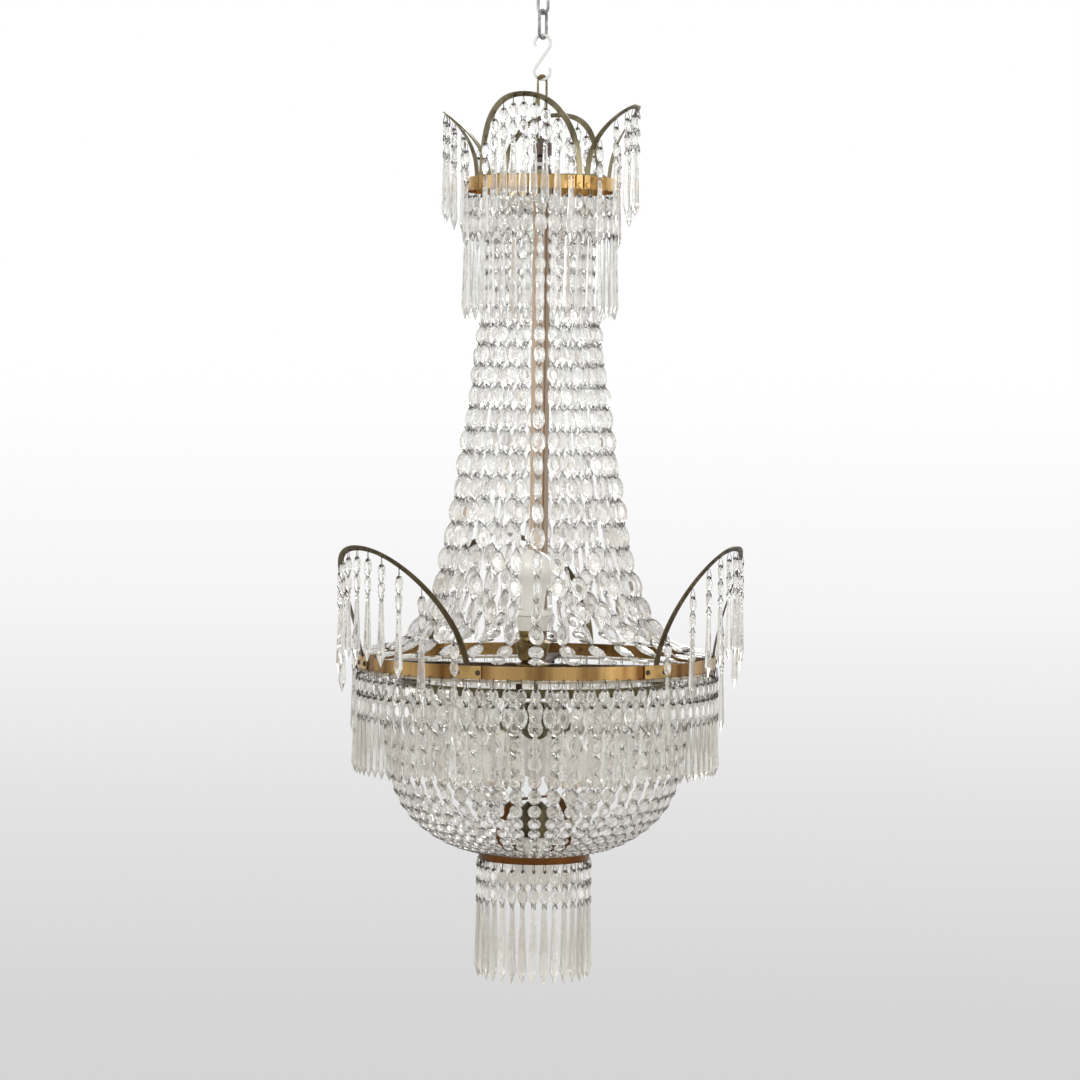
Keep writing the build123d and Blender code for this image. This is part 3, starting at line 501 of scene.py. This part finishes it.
point = [(-0.33, 1.0), (-0.345, 0.97), (-0.5, 0.04)]
plain_profile = [(0.5, 0.22), (0.487, 0.42), (0.44, 0.46), (0.08, 0.68), *point]
collar_profile = [(0.5, 0.24), (0.488, 0.56), (0.462, 0.58), (0.45, 0.44), (0.435, 0.44), (0.424, 0.62),
                  (0.40, 0.62), (0.388, 0.48), (0.37, 0.5), (0.30, 0.6), *point]
oval_cut = oval_pattern()
icicle_cut, collar_cut = icicle_pattern(plain_profile), icicle_pattern(collar_profile, 8, 0.5)
print("facets:", [len(faces) for corners, faces in (oval_cut, icicle_cut, collar_cut)])

# %% [markdown]
# ## Stamping copies
# Two thousand separate objects would be slow to handle, so all crystals of a string become one
# mesh. Each place is three scaled axes and an origin, and the pattern's corners are multiplied
# by them in one step.

# %% Copies of a pattern as one piece
def stamp(name, pattern, places, finish, body, smooth=False):
    corners, faces = pattern
    places = np.array(places)
    spread = np.einsum("kij,nj->kni", places[:, :, :3], corners) + places[:, None, :, 3]
    starts = range(0, len(places) * len(corners), len(corners))
    copies = [tuple(start + corner for corner in face) for start in starts for face in faces]
    mesh = bpy.data.meshes.new(name)
    mesh.from_pydata(spread.reshape(-1, 3).tolist(), [], copies)
    mesh.polygons.foreach_set("use_smooth", [smooth] * len(copies))
    mesh.materials.append(finish)
    piece = bpy.data.objects.new(name, mesh)
    bpy.context.scene.collection.objects.link(piece)
    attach(piece, body)
    return piece


# %% [markdown]
# The topmost crystal of each fringe and arch does not touch the ring: it hangs from a wire that is
# some millimetres long. The plain solid it replaces fills both lengths, so the cut crystal
# takes the lower part of that solid and leaves the upper part to the wire. Which crystals
# these are follows from having no neighbour above. The strings of the tent begin right at their
# ring, and those of the bowl begin lower, with a small round bead instead of an oval.

# %% Which crystal hangs from which
every_foot = [drop.foot for found in drops.values() for drop in found]
every_top = [drop.top for found in drops.values() for drop in found]
feet, tops = kdtree.KDTree(len(every_foot)), kdtree.KDTree(len(every_top))
for tree, ends in ((feet, every_foot), (tops, every_top)):
    for index, end in enumerate(ends):
        tree.insert(end, index)
    tree.balance()
near = 0.003  # two crystals are joined where their ends are nearer than this
usual_wire = 0.0055
wire_lengths = {"main_fringe": 0.0085, "bowl": 0.0095, "tent": 0.0}
bead_width = 0.9  # of the bowl's first beads, as a share of their length


def wire_of(node):
    """The length of the wire above the first crystal of a node's strings."""
    return next((length for start, length in wire_lengths.items() if node.startswith(start)), usual_wire)


for node, found in drops.items():
    for drop in found:
        drop.edge = drop.top.copy()
        drop.leads = feet.find(drop.top)[2] >= near
        if drop.leads:
            wire = wire_of(node)
            drop.top = drop.top - drop.axes[2] * wire
            drop.size[2] -= wire
            drop.middle = (drop.top + drop.foot) / 2
            if node.startswith("bowl"):
                drop.size[0] = drop.size[2] * bead_width
print("leading crystals:", sum(drop.leads for found in drops.values() for drop in found))

# %% [markdown]
# Now every place gets its cut crystal. It stands where the plain solid stood, but it is a little
# wider, and an icicle is also flatter. One that hangs from a wire is shorter by that wire.

# %% Cutting all crystals
# Across, through and along, as shares of the plain solid's sizes
oval_fatness, icicle_fatness = (1.04, 1.1, 1), (1.14, 0.8, 1)
crystal_faces = 0
for node, found in drops.items():
    icicle_shape = collar_cut if node in arch_nodes else icicle_cut
    for kind, cut in (("ovals", oval_cut), ("icicles", icicle_shape)):
        chosen = [d for d in found if (d.size[2] > shortest_icicle) == (kind == "icicles")]
        if chosen:
            fatness = oval_fatness if kind == "ovals" else icicle_fatness
            places = [d.frame(d.middle, d.size * fatness) for d in chosen]
            piece = stamp(f"{node}_cut_{kind}", cut, places, crystal, body_of[node])
            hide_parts(node)
            crystal_faces += len(piece.data.polygons)
print("cut facets:", crystal_faces)

# %% [markdown]
# ## Wires between the crystals
# Every crystal has a hole near its top, and a bent wire pin joins it to the next one. From the
# front the pin reads as a small dark cross between two drops. A closed loop of wire that leans
# one way in front and the other way behind gives that cross from any side. Where a string begins at
# a ring or a strap, a longer two-legged wire goes over the edge instead, and the hole it
# passes shows as a black dot. A dark plug, a little thicker than the glass, stands for that hole
# with the wire in it: the wire is real, and the rest of the dark disc is painted shade in the bore.

# %% Loops of wire and plugs as patterns
def wire_loop(points, thick, sides=4):
    """A closed wire through the points, in metres."""
    points = [Vector(point) for point in points]
    corners, faces = [], []
    for index, here in enumerate(points):
        ahead = (points[(index + 1) % len(points)] - here).normalized()
        behind = (here - points[index - 1]).normalized()
        along = (ahead + behind).normalized()
        across = along.cross(Vector((0.31, 0.17, 0.93))).normalized()
        other = along.cross(across)
        for side in range(sides):
            angle = 2 * pi * side / sides
            corners.append(here + (across * cos(angle) + other * sin(angle)) * thick / 2)
    total = len(corners)
    for index in range(len(points)):
        for side in range(sides):
            near_side, next_side = index * sides + side, index * sides + (side + 1) % sides
            faces.append((near_side, next_side, (next_side + sides) % total, (near_side + sides) % total))
    return np.array(corners), faces


def plug_pattern(radius, depth, steps=8):
    """A short round plug that shows on both faces of a crystal."""
    angles = [2 * pi * step / steps for step in range(steps)]
    corners = [(radius * cos(a), side * depth / 2, radius * sin(a)) for side in (-1, 1) for a in angles]
    ends = [tuple(range(steps)), tuple(reversed(range(steps, 2 * steps)))]
    return np.array(corners), rings_to_faces(2, steps, False) + ends


def cross_pin(half_width, depth, reach, thick):
    """A closed loop that shows as a cross from the front."""
    return wire_loop([(-half_width, depth, -reach), (half_width, depth, reach),
                      (half_width, -depth, -reach), (-half_width, -depth, reach)], thick)


def ring_wire(length):
    """Two legs from a ring's edge down to the hole in a crystal."""
    low, knee = -length - 0.0023, -length - 0.0005
    return wire_loop([(0, 0.0022, low), (-0.0013, 0.0022, knee), (-0.0003, 0.0008, 0.0016),
                      (0.0003, -0.0008, 0.0016), (0.0013, -0.0022, knee), (0, -0.0022, low)], 0.00075)


pin = cross_pin(0.0021, 0.0022, 0.0036, 0.0009)
small_pin = cross_pin(0.0025, 0.0021, 0.0029, 0.00095)
edge_hook = wire_loop([(0, 0.0013, -0.0021), (0, 0.0014, 0.0030), (0, -0.0008, 0.0042),
                       (0, -0.0030, 0.0030), (0, -0.0012, -0.0018)], 0.0007)
plug = plug_pattern(0.00135, 0.0048)
hole_depth = 0.0026  # of a hole's middle, below the crystal's end
print("faces of a pin:", len(pin[1]), "and of a plug:", len(plug[1]))

# %% [markdown]
# What a crystal hangs from follows from its neighbours. One with a neighbour above has a pin. The
# first of a tent or bowl string has a hook over the ring, as has the last one at its lower ring,
# and the first crystals of the fringes and arches have the two-legged wire.

# %% Pins where a neighbour is above, hooks and wires where there is none
wires = 0
for node, found in drops.items():
    hung = [d for d in found if d.leads and "strands" not in node]
    begun = [d for d in found if d.leads and "strands" in node]
    joined = [d for d in found if not d.leads]
    hooks = [d.frame(d.edge) for d in begun]
    if "strands" in node:
        hooks += [d.frame(d.foot) for d in found if tops.find(d.foot)[2] >= near]
    drilled = hung + [d for d in joined if node == "main_fringe_ovals"]
    kinds = (
        ("pins", small_pin if "strands" in node else pin, [d.frame(d.edge) for d in joined]),
        ("hooks", edge_hook, hooks),
        ("wires", ring_wire(wire_of(node)), [d.frame(d.edge) for d in hung]),
        ("holes", plug, [d.frame(d.top - d.axes[2] * hole_depth) for d in drilled]),
    )
    for kind, pattern, places in kinds:
        if places:
            # The plugs are dark: partly a wire's colour and partly the painted shade of the bore.
            dark = dark_bronze if kind == "holes" else strand_wire
            stamp(f"{node}_{kind}", pattern, places, dark, body_of[node])
            wires += len(places)
print("wires, pins and holes:", wires)

# %% [markdown]
# ## Small things round the stirrup
# Tape is wound round the stirrup's bend, a tie sits on each of its legs, and a loop of pale cord
# lies round the neck of the knob. Each winding is a row of thin rings, stamped like the
# crystals: a ring of size 1, turned so that its axis runs along what it is wound on.

# %% Rings wound on a wire
def ring_pattern(thick, steps=20, sides=6):
    """A round ring of radius 1 about Z."""
    corners, faces = [], []
    for step in range(steps):
        turn = 2 * pi * step / steps
        for side in range(sides):
            lean = 2 * pi * side / sides
            out = 1 + thick * cos(lean)
            corners.append((out * cos(turn), out * sin(turn), thick * sin(lean)))
            here, next_step = step * sides, (step + 1) % steps * sides
            other = (side + 1) % sides
            faces.append((here + side, next_step + side, next_step + other, here + other))
    return np.array(corners), faces


def wound(name, middles, alongs, radius, finish, thick=0.3):
    """Rings of one radius at the given middles, each with its axis along a direction."""
    places = []
    for middle, along in zip(middles, alongs):
        turn = Vector(along).to_track_quat("Z", "Y").to_matrix()
        places.append(np.column_stack((np.array(turn) * radius, middle)))
    return stamp(name, ring_pattern(thick), places, finish, "chandelier", smooth=True)


stirrup_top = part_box("hanging_stirrup")[1][2]
leg = 0.007  # from the stirrup's axis to the middle of either leg
stirrup_wire = 0.0026  # its thickness
side_way = np.array((cos(radians(45)), sin(radians(45)), 0.0))
bend = np.array((0.0, 0.0, stirrup_top - stirrup_wire / 2 - leg))
angles = [radians(a) for a in range(36, 145, 12)]
tape = [bend + leg * (side_way * cos(a) + np.array((0, 0, sin(a)))) for a in angles]
tape_way = [tuple(np.array((0, 0, cos(a))) - side_way * sin(a)) for a in angles]
wound("bend_tape", tape, tape_way, 0.0017, turned_brass, 0.45)
ties = (
    ("left_tie", -1, -0.155, 9, olive_lacquer, "dark_bronze"),
    ("right_tie", 1, -0.182, 7, brass_brown, "brown_brass"),
)
tie_pitch = 0.0011  # from one turn of a tie to the next
for name, side, height, turns, finish, slot in ties:
    middles = [side * leg * side_way + np.array((0, 0, height - tie_pitch * turn)) for turn in range(turns)]
    wound(name, middles, [(0.05, 0, 1)] * turns, 0.0021, finish, 0.35)
cord_loops = [(0.0, 0.0, -0.2305), (0.0, 0.0, -0.2326)]
cord_ways = [(0.12, 0.05, 1), (-0.1, 0.08, 1)]
wound("pale_cord", cord_loops, cord_ways, 0.0105, white_cup, 0.11)
print("windings made, the stirrup's top is at", round(stirrup_top, 4))

# %% [markdown]
# ## The room
# The photograph has a white wall that fades to light grey below. A real wall behind the object
# would get in the way when it is looked at from the back, so the pale room is the world itself:
# what the camera sees fades by height, and what metal and glass see has a pale band all round, a
# dimmer ceiling and a grey floor, because polished things need something dark to draw their edges.
# Broad soft panels of grey to the sides give the brass its upright light and dark stripes.

# %% World
# Stops of the direction's height, from 0 straight down to 1 straight up, and the grey there
wall_stops = ((0.395, 0.655), (0.417, 0.672), (0.445, 0.768), (0.473, 0.913), (0.5, 0.99), (0.505, 1.0))
room_stops = ((0.0, 0.5), (0.36, 0.56), (0.45, 0.92), (0.53, 1.0),
              (0.64, 0.95), (0.76, 0.55), (0.9, 0.7), (1.0, 0.9))


def pale_room():
    room = bpy.data.worlds.new("pale_room")
    bpy.context.scene.world = room
    made = Finish(room)
    way = made.node("ShaderNodeTexCoord", output="Generated")
    height = made.node("ShaderNodeSeparateXYZ", (), {0: way}, output=2)
    climb = height * 0.5 + 0.5
    seen = made.ramp(climb, *wall_stops)
    around = made.ramp(climb, *room_stops)
    flat_way = made.node("ShaderNodeMapping", (), {"Vector": way, "Scale": (1, 1, 0.2)})
    patches = made.node("ShaderNodeTexNoise", (), {"Vector": flat_way, "Scale": 2.6, "Detail": 1.0})
    panels = made.ramp(patches, (0.42, 0.0), (0.5, 1.0))
    around = made.blend((1 - panels) * 0.42, around, (0.36, 0.35, 0.34))
    camera_ray = made.node("ShaderNodeLightPath", output="Is Camera Ray")
    colour = made.blend(camera_ray, around, seen)
    made.finish(made.node("ShaderNodeBackground", (), {"Color": colour, "Strength": 1.0}))


pale_room()

# %% [markdown]
# The floor lies well below the lowest icicle. It catches the soft shadow and throws light back up
# into the bowl, and it fades out at its rim so that no edge shows.

# %% Floor
floor_radius, floor_height = 2.3, -1.75


def pale_floor():
    steps = 64
    turns = [2 * pi * step / steps for step in range(steps)]
    ring = [(floor_radius * cos(turn), floor_radius * sin(turn), floor_height) for turn in turns]
    mesh = bpy.data.meshes.new("floor")
    mesh.from_pydata(ring, [], [tuple(range(steps))])
    made = Finish(bpy.data.materials.new("pale_floor"))
    away = made.node("ShaderNodeVectorMath", {"operation": "LENGTH"}, {0: made.place()}, output="Value")
    fade = made.ramp(away / (floor_radius * 1.3), (0.62, 0.0), (0.95, 1.0))
    cloudy = made.blend(made.noise(9, 3.0), (0.72, 0.72, 0.72), (0.69, 0.69, 0.69))
    plain = made.surface(Base_Color=cloudy, Roughness=0.9)
    clear = made.node("ShaderNodeBsdfTransparent")
    mesh.materials.append(made.finish(made.node("ShaderNodeMixShader", (), {0: fade, 1: plain, 2: clear})))
    floor = bpy.data.objects.new("floor", mesh)
    bpy.context.scene.collection.objects.link(floor)


pale_floor()

# %% [markdown]
# ## Light
# Large soft lamps: a key from the upper left, a weaker fill from the right and one from behind
# that lights the far crystals. They are big so that facets catch broad highlights.

# %% Lamps
def soft_lamp(name, place, size, watts):
    data = bpy.data.lights.new(name, "AREA")
    data.shape, data.size, data.energy = "DISK", size, watts
    lamp = bpy.data.objects.new(name, data)
    lamp.location = place
    lamp.rotation_euler = (Vector((0, 0, -0.6)) - Vector(place)).to_track_quat("-Z", "Y").to_euler()
    bpy.context.scene.collection.objects.link(lamp)
    print(name, "at", place, "with", watts, "W")


soft_lamp("key_lamp", (-2.0, -2.4, 0.9), 1.6, 38)
soft_lamp("fill_lamp", (2.4, -1.6, -0.1), 1.8, 18)
soft_lamp("back_lamp", (0.8, 2.6, 0.6), 1.6, 26)

# %% [markdown]
# ## Camera
# The photograph was taken from the front, a little above the middle of the chandelier, with a
# long lens: rings seen nearly edge on show that. The axis of the chandelier leans a little to the
# right in it, so the camera is rolled by a little over half a degree.

# %% Camera
view = bpy.data.cameras.new("studio_camera")
view.sensor_width, view.lens = 36.0, 116.07
camera = bpy.data.objects.new("studio_camera", view)
camera.location = (0.003, -4.0, -0.515)
tilt, roll = radians(90 - 2.09), radians(0.62)
camera.rotation_euler = (Matrix.Rotation(tilt, 4, "X") @ Matrix.Rotation(roll, 4, "Z")).to_euler()
bpy.context.scene.collection.objects.link(camera)
bpy.context.scene.camera = camera
bpy.context.scene.view_settings.view_transform = "Standard"
